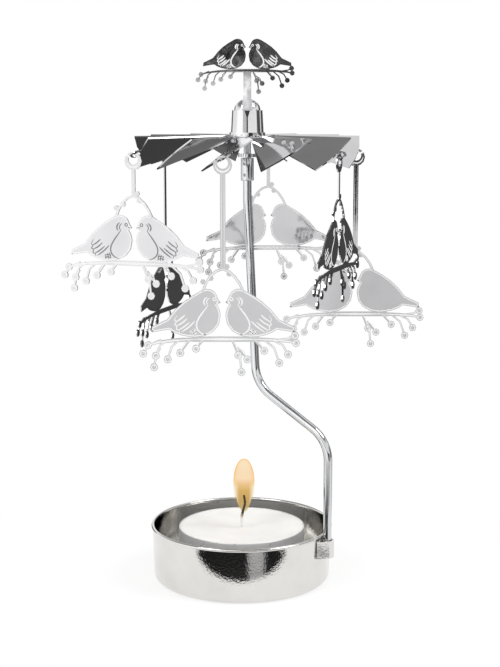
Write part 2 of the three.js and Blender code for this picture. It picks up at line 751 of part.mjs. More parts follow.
function foilCup() {
  return turned([
    point(0, foilBottom),
    ...roundedCorner(TEALIGHT_RADIUS, foilBottom, -Math.PI / 2, 0),
    point(TEALIGHT_RADIUS, foilRim),
    point(foilInside, foilRim),
    ...roundedCorner(foilInside, foilFloor, 0, -Math.PI / 2),
    point(0, foilFloor),
  ], 28);
}

function waxFill() {
  const radius = foilInside - SEAT_GAP;
  const bottom = foilFloor + SEAT_GAP;
  const ceiling = neckTop + SEAT_GAP;
  return turned([
    point(wickHole, ceiling),
    point(neckRadius + SEAT_GAP, ceiling),
    point(neckRadius + SEAT_GAP, sustainerTop + SEAT_GAP),
    point(SUSTAINER_RADIUS + SEAT_GAP, sustainerTop + SEAT_GAP),
    point(SUSTAINER_RADIUS + SEAT_GAP, bottom),
    ...roundedCorner(radius, bottom, -Math.PI / 2, 0),
    point(radius, waxRim),
    point(radius * 0.7, waxRim - WAX_DISH * 0.7),
    point(wickHole, waxMiddle),
    point(wickHole, ceiling),
  ], 28);
}

function sustainer() {
  return turned([
    point(wickHole, sustainerBottom),
    point(SUSTAINER_RADIUS, sustainerBottom),
    point(SUSTAINER_RADIUS, sustainerTop),
    point(neckRadius, sustainerTop),
    point(neckRadius, neckTop),
    point(wickHole, neckTop),
    point(wickHole, sustainerBottom),
  ], 20);
}

function wick() {
  const straightTop = waxMiddle + 0.3 * WICK_ABOVE_WAX;
  const path = new THREE.CatmullRomCurve3([
    new Vector3(0, 0, sustainerBottom),
    new Vector3(0, 0, (sustainerBottom + waxMiddle) / 2),
    new Vector3(0, 0, straightTop),
    new Vector3(WICK_LEAN, 0, waxMiddle + 0.75 * WICK_ABOVE_WAX),
    new Vector3(0.7 * WICK_LEAN, 0, waxMiddle + WICK_ABOVE_WAX),
  ]);
  return rod(path, WICK_RADIUS, 9, 8);
}

// The whole object

const holder = new THREE.Group();
holder.add(piece('tray', tray(), trayChrome));
holder.add(piece('stem_wire', stem(), wireChrome));

// The post stands a little off the tray's middle, and carries all that is above it
const post = new THREE.Group();
post.position.copy(beside(POST_OFFSET, 0));
post.add(piece('crimped_sleeve', sleeve(), wireChrome));
post.add(piece('pivot_collar', collar(), wireChrome));
post.add(piece('pivot_needle', needle(), wireChrome));
holder.add(post);

const tealight = new THREE.Group();
tealight.add(piece('tealight_cup', foilCup(), foil));
tealight.add(piece('tealight_wax', waxFill(), wax));
tealight.add(piece('wick_sustainer', sustainer(), foil));
tealight.add(piece('wick', wick(), cotton));
holder.add(tealight);

const rotor = new THREE.Group();
rotor.add(piece('blade_wheel', wheel(), sheetChrome));
rotor.add(piece('hub_cap', hubCap(), capChrome));
rotor.add(piece('clamp_ring', clampRing(), capChrome));
rotor.add(topFigure());
for (let number = 0; number < BLADE_COUNT / 2; number += 1) rotor.add(hangingOrnament(number));
post.add(rotor);

export default holder;
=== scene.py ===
import json
import math

import bmesh
import bpy
from mathutils import Matrix, Vector


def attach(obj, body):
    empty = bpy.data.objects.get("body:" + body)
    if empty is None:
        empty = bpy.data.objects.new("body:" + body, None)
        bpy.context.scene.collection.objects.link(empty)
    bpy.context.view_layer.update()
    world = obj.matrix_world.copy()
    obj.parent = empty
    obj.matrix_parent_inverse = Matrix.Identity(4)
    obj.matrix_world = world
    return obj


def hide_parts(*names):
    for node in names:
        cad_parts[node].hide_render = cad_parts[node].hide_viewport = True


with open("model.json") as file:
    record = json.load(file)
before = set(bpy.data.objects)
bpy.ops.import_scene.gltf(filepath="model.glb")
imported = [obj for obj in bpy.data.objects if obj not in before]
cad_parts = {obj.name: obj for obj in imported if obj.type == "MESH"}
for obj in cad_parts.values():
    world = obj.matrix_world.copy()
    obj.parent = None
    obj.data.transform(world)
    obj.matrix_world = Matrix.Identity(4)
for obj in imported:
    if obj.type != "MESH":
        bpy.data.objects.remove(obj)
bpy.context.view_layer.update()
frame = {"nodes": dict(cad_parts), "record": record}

scene = bpy.context.scene
scene.view_settings.view_transform = "Standard"
MM = 0.001


# Sizes repeated from the part, in millimetres, with bearings in radians

SHEET = 0.4
WALL = 0.5
TRAY_RADIUS = 27.5
TRAY_HEIGHT = 17
TRAY_CORNER = 2
TRAY_DRAFT = 0.5
RIM_BEAD = 0.5
WIRE_RADIUS = 1.25
STEM_RADIUS = 29.05
STEM_BEARING = math.radians(-28)
STEM_BOTTOM = 10.7
POST_OFFSET = 2
POST_LEAN = 3
POST_UPRIGHT_END = 8.7
KNEE_HEIGHT = 45.8
SHOULDER_HEIGHT = 60.8
STEM_TOP = 124.7
STEM_BEND = 11
STRAP_BOTTOM = 10.4
STRAP_TOP = 15.6
STRAP_HALF_SPAN = 4
WIRE_GAP = 0.3
FOIL_RADIUS = 19.25
FOIL_WALL = 0.35
FOIL_CORNER = 1.5
FOIL_BOTTOM = 0.8
FOIL_RIM = 16
WAX_RADIUS = 18.6
WAX_BOTTOM = 5.4
WAX_RIM = 15.5
WAX_BORE = 0.6
WAX_MIDDLE = 14.9
RING_HANG = 0.968
RING_SAG = 0.45
SLEEVE_BORE = 1.55
SLEEVE_RADIUS = 1.9
SLEEVE_BOTTOM = 121.7
SLEEVE_TOP = 128.3
SLEEVE_EDGE = 0.12
CRIMP_RADIUS = 0.7
CRIMP_DEPTH = 0.2
CRIMP_INSET = 1.7
CRIMP_BEARING = math.radians(-115)
SEAM_HALF = 0.19
SEAM_MOUTH = 0.85
SEAM_BOTTOM = 135.82
SEAM_FLARE = 140.2
SEAM_TOP = 142.1
SEAM_FRONT = 4.25
SEAM_BACK = 4.07
BRANCH_LEVEL = -19.7
TOP_BRANCH_HEIGHT = 153.6
PENDANT_SPAN = 39.8
TOP_SPAN = 25.8
TOP_UNIT = TOP_SPAN / PENDANT_SPAN
PENDANT_YAWS = [math.radians(turn) for turn in (0, 70, 0, 0, 70.7, -17.6)]
PENDANT_DROPS = [28.7, 10.3]
STRIP_WIDTHS = [1.5, 1.1]
STRIP_END = 2.4
wick_line = [(0, 2), (0, 8), (0, 15), (0, 18), (0.4, 20.4), (1, 22.8), (0.7, 25.4)]


# Sizes that only this script has, in millimetres, with the ripple's turn in radians per point

WICK_RADIUS = 0.52
WICK_TAPER = 0.2
WICK_RIPPLE = 0.03
WICK_RIPPLE_TURN = 9
CHAR_START = WAX_MIDDLE + 3.2
CHAR_END = WAX_MIDDLE + 5.6
FLAME_BOTTOM = 19.8
FLAME_TOP = 37
FLAME_RADIUS = 3.3
FLAME_RIM = 0.26
FLAME_SHIFT = 0.7
FLAME_MIDDLE_HALF = 1.5
FLAME_BORDER_HALF = 2.5


# Node helpers

# A Mix node's sockets share names between data types, so its two values and its result go by number
MIX_SOCKETS = {"FLOAT": (2, 3, 0), "RGBA": (6, 7, 2)}


def new_material(name):
    made = bpy.data.materials.new(name)
    made.use_nodes = True
    return made, made.node_tree, made.node_tree.nodes["Principled BSDF"]


def plug(tree, socket, value):
    """Links a socket to another one, or sets its constant."""
    if isinstance(value, bpy.types.NodeSocket):
        tree.links.new(value, socket)
    else:
        socket.default_value = value


def add(tree, kind, settings=None, **inputs):
    node = tree.nodes.new(kind)
    for key, value in (settings or {}).items():
        setattr(node, key, value)
    for key, value in inputs.items():
        plug(tree, node.inputs[key.replace("_", " ")], value)
    return node


def calculate(tree, operation, *values):
    node = add(tree, "ShaderNodeMath", {"operation": operation})
    for socket, value in zip(node.inputs, values):
        plug(tree, socket, value)
    return node.outputs[0]


def mixed(tree, data_type, share, low, high):
    first, second, result = MIX_SOCKETS[data_type]
    node = add(tree, "ShaderNodeMix", {"data_type": data_type})
    for place, value in ((0, share), (first, low), (second, high)):
        plug(tree, node.inputs[place], value)
    return node.outputs[result]


def object_place(tree):
    return tree.nodes.new("ShaderNodeTexCoord").outputs["Object"]


def stretched(tree, scale):
    return add(tree, "ShaderNodeMapping", Vector=object_place(tree), Scale=scale).outputs["Vector"]


def noise(tree, vector, scale, detail=4, distortion=0.0):
    node = add(tree, "ShaderNodeTexNoise", Vector=vector, Scale=scale, Detail=detail, Distortion=distortion)
    return node.outputs["Fac"]


def spread(tree, value, low, high, low_in=0.3, high_in=0.7, curve="LINEAR"):
    node = add(tree, "ShaderNodeMapRange", {"interpolation_type": curve}, Value=value)
    for key, number in (("From Min", low_in), ("From Max", high_in), ("To Min", low), ("To Max", high)):
        node.inputs[key].default_value = number
    return node.outputs["Result"]


def ramp(tree, value, stops):
    node = tree.nodes.new("ShaderNodeValToRGB")
    tree.links.new(value, node.inputs["Fac"])
    elements = node.color_ramp.elements
    for _ in stops[2:]:
        elements.new(0.5)
    for element, (position, colour) in zip(elements, stops):
        element.position = position
        element.color = (*colour, 1)
    return node.outputs["Color"]


def tint(tree, value, low, high, low_at=0.3, high_at=0.7):
    return ramp(tree, value, [(low_at, low), (high_at, high)])


def bump(tree, height, strength, distance):
    node = add(tree, "ShaderNodeBump", Height=height, Strength=strength, Distance=distance)
    return node.outputs["Normal"]


def layered(tree, share, under, top):
    """Makes a material's surface from two shaders, the second over the first by share."""
    mix = add(tree, "ShaderNodeMixShader", Fac=share)
    tree.links.new(under, mix.inputs[1])
    tree.links.new(top, mix.inputs[2])
    tree.links.new(mix.outputs["Shader"], tree.nodes["Material Output"].inputs["Surface"])


# Materials

def polished_metal(name, low, high, rough, grain_scale, ripple, metallic=1):
    """Metal with faint clouds, smears and a grain. The roughness runs between the two values of rough."""
    made, tree, shader = new_material(name)
    shader.inputs["Metallic"].default_value = metallic
    clouds = noise(tree, object_place(tree), scale=90)
    tree.links.new(tint(tree, clouds, low, high), shader.inputs["Base Color"])
    smears = noise(tree, object_place(tree), scale=420, detail=6, distortion=0.6)
    tree.links.new(spread(tree, smears, *rough), shader.inputs["Roughness"])
    grain = noise(tree, stretched(tree, grain_scale), scale=1, detail=3)
    tree.links.new(bump(tree, grain, strength=ripple, distance=0.0001), shader.inputs["Normal"])
    return made


tray_chrome = polished_metal(
    "tray_chrome",
    low=(0.70, 0.69, 0.67),
    high=(0.76, 0.75, 0.73),
    rough=(0.02, 0.05),
    grain_scale=(1700, 1700, 1700),
    ripple=0.3,
)
wire_chrome = polished_metal(
    "wire_chrome",
    low=(0.62, 0.63, 0.64),
    high=(0.70, 0.71, 0.72),
    rough=(0.06, 0.12),
    grain_scale=(300, 300, 20),
    ripple=0.012,
)
sheet_chrome = polished_metal(
    "sheet_chrome",
    low=(0.56, 0.56, 0.57),
    high=(0.62, 0.62, 0.63),
    rough=(0.03, 0.08),
    grain_scale=(200, 200, 200),
    ripple=0.024,
)
cap_chrome = polished_metal(
    "cap_chrome",
    low=(0.72, 0.72, 0.73),
    high=(0.78, 0.78, 0.79),
    rough=(0.05, 0.11),
    grain_scale=(40, 40, 1500),
    ripple=0.048,
)
foil = polished_metal(
    "foil",
    low=(0.70, 0.70, 0.70),
    high=(0.80, 0.80, 0.80),
    rough=(0.25, 0.4),
    grain_scale=(500, 500, 90),
    ripple=0.2,
    metallic=0.5,
)


def etched_metal(name, low, high):
    """A frosted grey between the two levels."""
    made, tree, shader = new_material(name)
    frost = noise(tree, object_place(tree), scale=2600, detail=5)
    tree.links.new(tint(tree, frost, (low, low, low), (high, high, high)), shader.inputs["Base Color"])
    tree.links.new(spread(tree, frost, low=0.55, high=0.8), shader.inputs["Roughness"])
    tree.links.new(bump(tree, frost, strength=0.15, distance=0.00002), shader.inputs["Normal"])
    return made


def candle_wax():
    made, tree, shader = new_material("wax")
    place = object_place(tree)
    clouds = noise(tree, place, scale=130, detail=5)
    tree.links.new(tint(tree, clouds, (0.8, 0.79, 0.765), (0.86, 0.852, 0.83)), shader.inputs["Base Color"])
    gloss = noise(tree, place, scale=60, detail=3)
    tree.links.new(spread(tree, gloss, low=0.3, high=0.55), shader.inputs["Roughness"])
    shader.inputs["Subsurface Weight"].default_value = 0.25
    shader.inputs["Subsurface Radius"].default_value = (0.004, 0.003, 0.002)
    grain = noise(tree, place, scale=900, detail=4)
    tree.links.new(bump(tree, grain, strength=0.12, distance=0.00008), shader.inputs["Normal"])
    return made


def charred_cotton():
    """Waxed and white below, burnt black above."""
    made, tree, shader = new_material("cotton")
    place = object_place(tree)
    twist = add(tree, "ShaderNodeTexWave", Vector=place, Scale=900, Distortion=2).outputs["Fac"]
    height = add(tree, "ShaderNodeSeparateXYZ", Vector=place).outputs["Z"]
    burnt = spread(tree, height, low=0, high=1, low_in=CHAR_START * MM, high_in=CHAR_END * MM)
    colour = ramp(tree, burnt, [
        (0, (0.86, 0.85, 0.83)),
        (0.4, (0.4, 0.3, 0.2)),
        (0.8, (0.02, 0.012, 0.008)),
    ])
    tree.links.new(colour, shader.inputs["Base Color"])
    rough = spread(tree, twist, low=0.75, high=0.95, low_in=0, high_in=1)
    tree.links.new(rough, shader.inputs["Roughness"])
    tree.links.new(bump(tree, twist, strength=0.7, distance=0.0001), shader.inputs["Normal"])
    return made


# What the two inner films of the flame let through, from foot to tip
FLAME_STAIN = [(0, (0.98, 0.97, 0.94)), (1, (0.96, 0.94, 0.9))]


def flame_rise(tree):
    """From 0 at the flame's foot to 1 at its tip, and the place itself."""
    place = add(tree, "ShaderNodeSeparateXYZ", Vector=object_place(tree))
    return spread(tree, place.outputs["Z"], 0, 1, FLAME_BOTTOM * MM, FLAME_TOP * MM), place


def flame_film(tree, glow, stain, cover):
    """A film that glows, and stains what is seen through it."""
    tree.nodes.remove(tree.nodes["Principled BSDF"])
    light = add(tree, "ShaderNodeEmission", Color=glow, Strength=1.0)
    clear = add(tree, "ShaderNodeBsdfTransparent", Color=stain)
    layered(tree, cover, clear.outputs["BSDF"], light.outputs["Emission"])


def heart_film():
    """The bright upper part in front of the wick, clear below."""
    made, tree, _ = new_material("flame_heart")
    rise, _ = flame_rise(tree)
    glow = ramp(tree, rise, [
        (0.5, (0.95, 0.74, 0.42)),
        (0.66, (0.97, 0.86, 0.69)),
        (1, (0.99, 0.94, 0.84)),
    ])
    cover = spread(tree, rise, low=0.03, high=0.92, low_in=0.46, high_in=0.68)
    flame_film(tree, glow, ramp(tree, rise, FLAME_STAIN), cover)
    return made


def sheet_film():
    """The bright sheet behind the wick, darker in its middle."""
    made, tree, _ = new_material("flame_sheet")
    rise, place = flame_rise(tree)
    aside = calculate(tree, "SUBTRACT", place.outputs["X"], FLAME_SHIFT * MM)
    away = calculate(tree, "ABSOLUTE", aside)
    edge = spread(tree, away, low=0, high=1, low_in=FLAME_MIDDLE_HALF * MM, high_in=FLAME_BORDER_HALF * MM)
    middle = ramp(tree, rise, [
        (0, (0.6, 0.48, 0.3)),
        (0.2, (0.57, 0.39, 0.15)),
        (0.5, (0.76, 0.52, 0.19)),
        (0.64, (0.97, 0.82, 0.58)),
    ])
    border = ramp(tree, rise, [(0, (0.86, 0.78, 0.58)), (1, (0.98, 0.88, 0.7))])
    glow = mixed(tree, "RGBA", edge, middle, border)
    cover = spread(tree, rise, low=0.1, high=0.95, low_in=0.01, high_in=0.16)
    flame_film(tree, glow, ramp(tree, rise, FLAME_STAIN), cover)
    return made


def rim_film():
    """The flame's outer skin, which is seen as a thin rim because the light crosses it slantwise there."""
    made, tree, _ = new_material("flame_rim")
    rise, _ = flame_rise(tree)
    glow = ramp(tree, rise, [(0, (0.95, 0.8, 0.55)), (1, (0.95, 0.5, 0.12))])
    stain = ramp(tree, rise, [(0, (0.99, 0.98, 0.95)), (1, (1, 0.97, 0.92))])
    flame_film(tree, glow, stain, spread(tree, rise, low=0.02, high=0.05, low_in=0.36, high_in=0.62))
    density = spread(tree, rise, low=60, high=1300, low_in=0.5, high_in=0.74)
    smoke = add(tree, "ShaderNodeVolumeAbsorption", Color=(0.97, 0.72, 0.3, 1), Density=density)
    tree.links.new(smoke.outputs["Volume"], tree.nodes["Material Output"].inputs["Volume"])
    return made


# One etching at three levels: the grey and dark copies are painted shade for lines that catch less light
etched_light = etched_metal("etched_light", low=0.86, high=0.93)
etched_painted_half_shade = etched_metal("etched_painted_half_shade", low=0.2, high=0.28)
etched_painted_shade = etched_metal("etched_painted_shade", low=0.02, high=0.035)
wax = candle_wax()
cotton = charred_cotton()
flame_heart = heart_film()
flame_sheet = sheet_film()
flame_rim = rim_film()


# Lines in a plane

def arc(x, y, radius, start, end, steps):
    angles = [start + (end - start) * i / steps for i in range(steps + 1)]
    return [(x + radius * math.cos(angle), y + radius * math.sin(angle)) for angle in angles]


def circle(x, y, radius, steps):
    return arc(x, y, radius, 0, 2 * math.pi, steps)[:-1]


def rounded(points, steps=5):
    """A smooth line through the points."""
    ends = [points[0], *points, points[-1]]
    line = []
    for a, b, c, d in zip(ends, ends[1:], ends[2:], ends[3:]):
        for i in range(steps):
            t = i / steps
            line.append(tuple(
                0.5 * (
                    2 * q
                    + (r - p) * t
                    + (2 * p - 5 * q + 4 * r - s) * t * t
                    + (3 * q - p - 3 * r + s) * t ** 3
                )
                for p, q, r, s in zip(a, b, c, d)
            ))
    return [*line, points[-1]]


def bezier(points, steps):
    """Points along a curve, from its control points."""
    line = []
    for i in range(steps + 1):
        row = [Vector(place) for place in points]
        while len(row) > 1:
            row = [a.lerp(b, i / steps) for a, b in zip(row, row[1:])]
        line.append(tuple(row[0]))
    return line


# Mesh helpers

# Edges bent more than this stay sharp, on meshes made here and on the CAD's coarser ones
SHARP_ANGLE = math.radians(32)
CAD_SHARP_ANGLE = math.radians(40)


def finish_mesh(name, shape, material):
    bmesh.ops.remove_doubles(shape, verts=shape.verts, dist=1e-8)
    bmesh.ops.recalc_face_normals(shape, faces=shape.faces)
    for face in shape.faces:
        face.smooth = True
    for edge in shape.edges:
        edge.smooth = edge.is_manifold and edge.calc_face_angle(0) < SHARP_ANGLE
    mesh = bpy.data.meshes.new(name)
    shape.to_mesh(mesh)
    shape.free()
    mesh.materials.append(material)
    made = bpy.data.objects.new(name, mesh)
    scene.collection.objects.link(made)
    return made


def lathe(shape, profile, segments):
    """Turns a profile of radius and height about the upright axis."""
    rings = []
    for radius, z in profile:
        if radius < 1e-9:
            rings.append([shape.verts.new((0, 0, z * MM))])
            continue
        turns = [2 * math.pi * i / segments for i in range(segments)]
        rings.append([
            shape.verts.new((radius * MM * math.cos(turn), radius * MM * math.sin(turn), z * MM))
            for turn in turns
        ])
    for low, high in zip(rings, rings[1:]):
        for i in range(segments):
            j = (i + 1) % segments
            corners = [low[i % len(low)], low[j % len(low)], high[j % len(high)], high[i % len(high)]]
            face = list(dict.fromkeys(corners))
            if len(face) > 2:
                shape.faces.new(face)


def prism(shape, outline, bottom, top, turn):
    """An upright block on an outline that is turned about the upright axis."""
    def row(z):
        return [
            shape.verts.new((
                (x * math.cos(turn) - y * math.sin(turn)) * MM,
                (x * math.sin(turn) + y * math.cos(turn)) * MM,
                z * MM,
            ))
            for x, y in outline
        ]
    low, high = row(bottom), row(top)
    shape.faces.new(low[::-1])
    shape.faces.new(high)
    for i in range(len(outline)):
        j = (i + 1) % len(outline)
        shape.faces.new((low[i], low[j], high[j], high[i]))


def boolean(target, tool, operation):
    modifier = target.modifiers.new("join", "BOOLEAN")
    modifier.operation = operation
    modifier.solver = "EXACT"
    modifier.object = tool
    whole = target.evaluated_get(bpy.context.evaluated_depsgraph_get())
    shape = bmesh.new()
    shape.from_mesh(whole.to_mesh())
    name, material = target.name, target.data.materials[0]
    for old in (target, tool):
        bpy.data.objects.remove(old)
    return finish_mesh(name, shape, material)


def sweep(shape, path, radius, sides, across):
    """A round rod along points in a plane whose normal is across, of one radius or one per point."""
    rings = []
    for i, here in enumerate(path):
        along = (path[min(i + 1, len(path) - 1)] - path[max(i - 1, 0)]).normalized()
        side = along.cross(across).normalized()
        turns = [2 * math.pi * k / sides for k in range(sides)]
        size = radius if isinstance(radius, (int, float)) else radius[i]
        rings.append([
            shape.verts.new((here + size * (math.cos(turn) * side + math.sin(turn) * across)) * MM)
            for turn in turns
        ])
    for low, high in zip(rings, rings[1:]):
        for k in range(sides):
            shape.faces.new((low[k], low[(k + 1) % sides], high[(k + 1) % sides], high[k]))
    shape.faces.new(rings[0][::-1])
    shape.faces.new(rings[-1])


# Round CAD faces shade smoothly through a modifier

def smoothing_group():
    group = bpy.data.node_groups.new("smooth_shading", "GeometryNodeTree")
    group.interface.new_socket("Geometry", in_out="INPUT", socket_type="NodeSocketGeometry")
    group.interface.new_socket("Geometry", in_out="OUTPUT", socket_type="NodeSocketGeometry")
    inlet = group.nodes.new("NodeGroupInput")
    outlet = group.nodes.new("NodeGroupOutput")
    weld = add(group, "GeometryNodeMergeByDistance", Distance=1e-7)
    faces = add(group, "GeometryNodeSetShadeSmooth", {"domain": "FACE"})
    edges = add(group, "GeometryNodeSetShadeSmooth", {"domain": "EDGE"}, Shade_Smooth=False)
    angle = group.nodes.new("GeometryNodeInputMeshEdgeAngle").outputs["Unsigned Angle"]
    sharp = add(group, "FunctionNodeCompare", {"data_type": "FLOAT", "operation": "GREATER_THAN"})
    group.links.new(angle, sharp.inputs[0])
    sharp.inputs[1].default_value = CAD_SHARP_ANGLE
    group.links.new(inlet.outputs["Geometry"], weld.inputs["Geometry"])
    group.links.new(weld.outputs["Geometry"], faces.inputs[0])
    group.links.new(faces.outputs[0], edges.inputs[0])
    group.links.new(sharp.outputs[0], edges.inputs["Selection"])
    group.links.new(edges.outputs[0], outlet.inputs["Geometry"])
    return group


smooth_shading = smoothing_group()
finishes = {
    "tray_chrome": tray_chrome,
    "wire_chrome": wire_chrome,
    "sheet_chrome": sheet_chrome,
    "cap_chrome": cap_chrome,
    "foil": foil,
    "wax": wax,
    "cotton": cotton,
}
for entry in frame["record"]["subparts"]:
    node = frame["nodes"][entry["node"]]
    node.data.materials.clear()
    node.data.materials.append(finishes[entry["material_slot"]])
    node.modifiers.new("smooth_shading", "NODES").node_group = smooth_shading


# Tray with its rolled rim and strap

def strap_outline(radius, half_span, inner):
    reach = STEM_RADIUS - TRAY_RADIUS
    turn = math.atan2(reach, half_span) + math.asin(radius / math.hypot(reach, half_span))
    return [
        (inner, -half_span),
        (TRAY_RADIUS, -half_span),
        *arc(STEM_RADIUS, 0, radius, -turn, turn, steps=24),
        (TRAY_RADIUS, half_span),
        (inner, half_span),
    ]


def make_tray():
    inside = TRAY_RADIUS - WALL
    corner = TRAY_RADIUS - TRAY_DRAFT - TRAY_CORNER
    start = -math.acos(WALL / 2 / RIM_BEAD)
    shell = bmesh.new()
    lathe(shell, [
        (0, 0),
        *arc(corner, TRAY_CORNER, TRAY_CORNER, -math.pi / 2, 0, steps=12),
        *arc(TRAY_RADIUS - WALL / 2, TRAY_HEIGHT - RIM_BEAD, RIM_BEAD, start, math.pi - start, steps=20),
        *arc(corner - WALL, TRAY_CORNER + WALL, TRAY_CORNER, 0, -math.pi / 2, steps=12),
        (0, WALL),
    ], segments=160)
    hollow = WIRE_RADIUS + WIRE_GAP
    chord = math.sqrt(inside ** 2 - STRAP_HALF_SPAN ** 2)
    strap = bmesh.new()
    outside = strap_outline(hollow + WALL, STRAP_HALF_SPAN, chord + WALL / 2)
    prism(strap, outside, STRAP_BOTTOM, STRAP_TOP, STEM_BEARING)
    window = bmesh.new()
    opening = strap_outline(hollow, STRAP_HALF_SPAN - WALL, chord - WALL)
    prism(window, opening, STRAP_BOTTOM, STRAP_TOP, STEM_BEARING)
    whole = finish_mesh("fine_tray", shell, tray_chrome)
    whole = boolean(whole, finish_mesh("fine_strap", strap, tray_chrome), "UNION")
    return boolean(whole, finish_mesh("fine_window", window, tray_chrome), "DIFFERENCE")


# Stem wire

BEND_STEPS = 16


def bent_path(corners, radius):
    """Straight runs with round bends between them."""
    path = [corners[0]]
    for before, here, after in zip(corners, corners[1:], corners[2:]):
        into = (here - before).normalized()
        out = (after - here).normalized()
        turn = into.angle(out)
        start = here - into * radius * math.tan(turn / 2)
        side = (out - into * out.dot(into)).normalized()
        for i in range(BEND_STEPS + 1):
            angle = turn * i / BEND_STEPS
            path.append(start + radius * (math.sin(angle) * into + (1 - math.cos(angle)) * side))
    path.append(corners[-1])
    return path


def make_stem():
    def at(radius, z):
        return Vector((radius * math.cos(STEM_BEARING), radius * math.sin(STEM_BEARING), z))
    path = bent_path([
        at(STEM_RADIUS, STEM_BOTTOM),
        at(STEM_RADIUS, KNEE_HEIGHT),
        at(POST_OFFSET + POST_LEAN, SHOULDER_HEIGHT),
        at(POST_OFFSET, STEM_TOP - POST_UPRIGHT_END),
        at(POST_OFFSET, STEM_TOP),
    ], STEM_BEND)
    shape = bmesh.new()
    across = Vector((-math.sin(STEM_BEARING), math.cos(STEM_BEARING), 0))
    sweep(shape, path, WIRE_RADIUS, sides=32, across=across)
    return finish_mesh("fine_stem", shape, wire_chrome)


# Crimped sleeve

def make_sleeve():
    x = POST_OFFSET * math.cos(STEM_BEARING) * MM
    y = POST_OFFSET * math.sin(STEM_BEARING) * MM
    edge = SLEEVE_RADIUS - SLEEVE_EDGE
    shape = bmesh.new()
    lathe(shape, [
        (SLEEVE_BORE, SLEEVE_BOTTOM),
        *arc(edge, SLEEVE_BOTTOM + SLEEVE_EDGE, SLEEVE_EDGE, -math.pi / 2, 0, steps=4),
        *arc(edge, SLEEVE_TOP - SLEEVE_EDGE, SLEEVE_EDGE, 0, math.pi / 2, steps=4),
        (SLEEVE_BORE, SLEEVE_TOP),
        (SLEEVE_BORE, SLEEVE_BOTTOM),
    ], segments=72)
    bmesh.ops.translate(shape, verts=shape.verts, vec=(x, y, 0))
    whole = finish_mesh("fine_sleeve", shape, wire_chrome)
    for z in (SLEEVE_BOTTOM + CRIMP_INSET, SLEEVE_TOP - CRIMP_INSET):
        reach = (SLEEVE_RADIUS + CRIMP_RADIUS - CRIMP_DEPTH) * MM
        place = Vector((x + reach * math.cos(CRIMP_BEARING), y + reach * math.sin(CRIMP_BEARING), z * MM))
        ball = bmesh.new()
        bmesh.ops.create_uvsphere(
            ball, u_segments=32, v_segments=20, radius=CRIMP_RADIUS * MM, matrix=Matrix.Translation(place)
        )
        whole = boolean(whole, finish_mesh("fine_dimple", ball, wire_chrome), "DIFFERENCE")
    return whole


# Painted shade in the cap's seam

def make_seam_shade():
    """A dark sheet at the bottom of the seam in the cap's front: painted shade for the deep slot."""
    outline = [
        (-SEAM_HALF, SEAM_BOTTOM),
        (SEAM_HALF, SEAM_BOTTOM),
        (SEAM_HALF, SEAM_FLARE),
        (SEAM_MOUTH, SEAM_TOP),
        (-SEAM_MOUTH, SEAM_TOP),
        (-SEAM_HALF, SEAM_FLARE),
    ]
    axis = Vector((math.cos(STEM_BEARING), math.sin(STEM_BEARING), 0)) * POST_OFFSET
    shape = bmesh.new()
    front, back = [
        [shape.verts.new((axis + Vector((x, -depth, z))) * MM) for x, z in outline]
        for depth in (SEAM_FRONT, SEAM_BACK)
    ]
    shape.faces.new(front)
    shape.faces.new(back[::-1])
    for i in range(len(outline)):
        shape.faces.new((front[i], front[i - 1], back[i - 1], back[i]))
    return finish_mesh("cap_seam_painted_shade", shape, etched_painted_shade)


# Tealight

def make_foil_cup():
    inside = FOIL_RADIUS - FOIL_WALL
    floor = FOIL_BOTTOM + FOIL_WALL
    shape = bmesh.new()
    lathe(shape, [
        (0, FOIL_BOTTOM),
        *arc(FOIL_RADIUS - FOIL_CORNER, FOIL_BOTTOM + FOIL_CORNER, FOIL_CORNER, -math.pi / 2, 0, steps=8),
        *arc(FOIL_RADIUS - FOIL_WALL / 2, FOIL_RIM - FOIL_WALL / 2, FOIL_WALL / 2, 0, math.pi, steps=8),
        *arc(inside - FOIL_CORNER, floor + FOIL_CORNER, FOIL_CORNER, 0, -math.pi / 2, steps=8),
        (0, floor),
    ], segments=120)
    return finish_mesh("fine_foil_cup", shape, foil)


def make_wax():
    """A shallow bowl that creeps up the foil at its edge and up the wick in its middle."""
    shape = bmesh.new()
    lathe(shape, [
        (WAX_BORE, WAX_BOTTOM),
        (WAX_RADIUS - 1.5, WAX_BOTTOM),
        (WAX_RADIUS, WAX_BOTTOM + 1.1),
        (WAX_RADIUS, WAX_RIM - 1.5),
        (WAX_RADIUS + 0.28, WAX_RIM - 0.6),
        (WAX_RADIUS + 0.28, WAX_RIM + 0.3),
        (WAX_RADIUS + 0.1, WAX_RIM + 0.22),
        (WAX_RADIUS - 0.6, WAX_RIM),
        (WAX_RADIUS - 2, WAX_RIM - 0.12),
        (WAX_RADIUS * 0.7, WAX_RIM - 0.42),
        (WAX_RADIUS * 0.4, WAX_MIDDLE + 0.1),
        (3, WAX_MIDDLE),
        (1.2, WAX_MIDDLE + 0.1),
        (WAX_BORE, WAX_MIDDLE + 0.5),
        (WAX_BORE, WAX_BOTTOM),
    ], segments=120)
    return finish_mesh("fine_wax", shape, wax)


def make_wick():
    path = [Vector((x, 0, z)) for x, z in rounded(wick_line)]
    count = len(path)
    radii = [
        WICK_RADIUS - WICK_TAPER * i / count + WICK_RIPPLE * math.sin(WICK_RIPPLE_TURN * i)
        for i in range(count)
    ]
    shape = bmesh.new()
    sweep(shape, path, radii, sides=14, across=Vector((0, 1, 0)))
    return finish_mesh("fine_wick", shape, cotton)


# Flame

FLAME_FOOT = 0.58
FLAME_TIP = 0.5
FLAME_STEPS = 40


def flame_swell(t):
    """How wide the flame is at a share of its height."""
    return t ** FLAME_FOOT * (1 - t) ** FLAME_TIP


FLAME_FULL_SWELL = max(flame_swell(i / 100) for i in range(101))


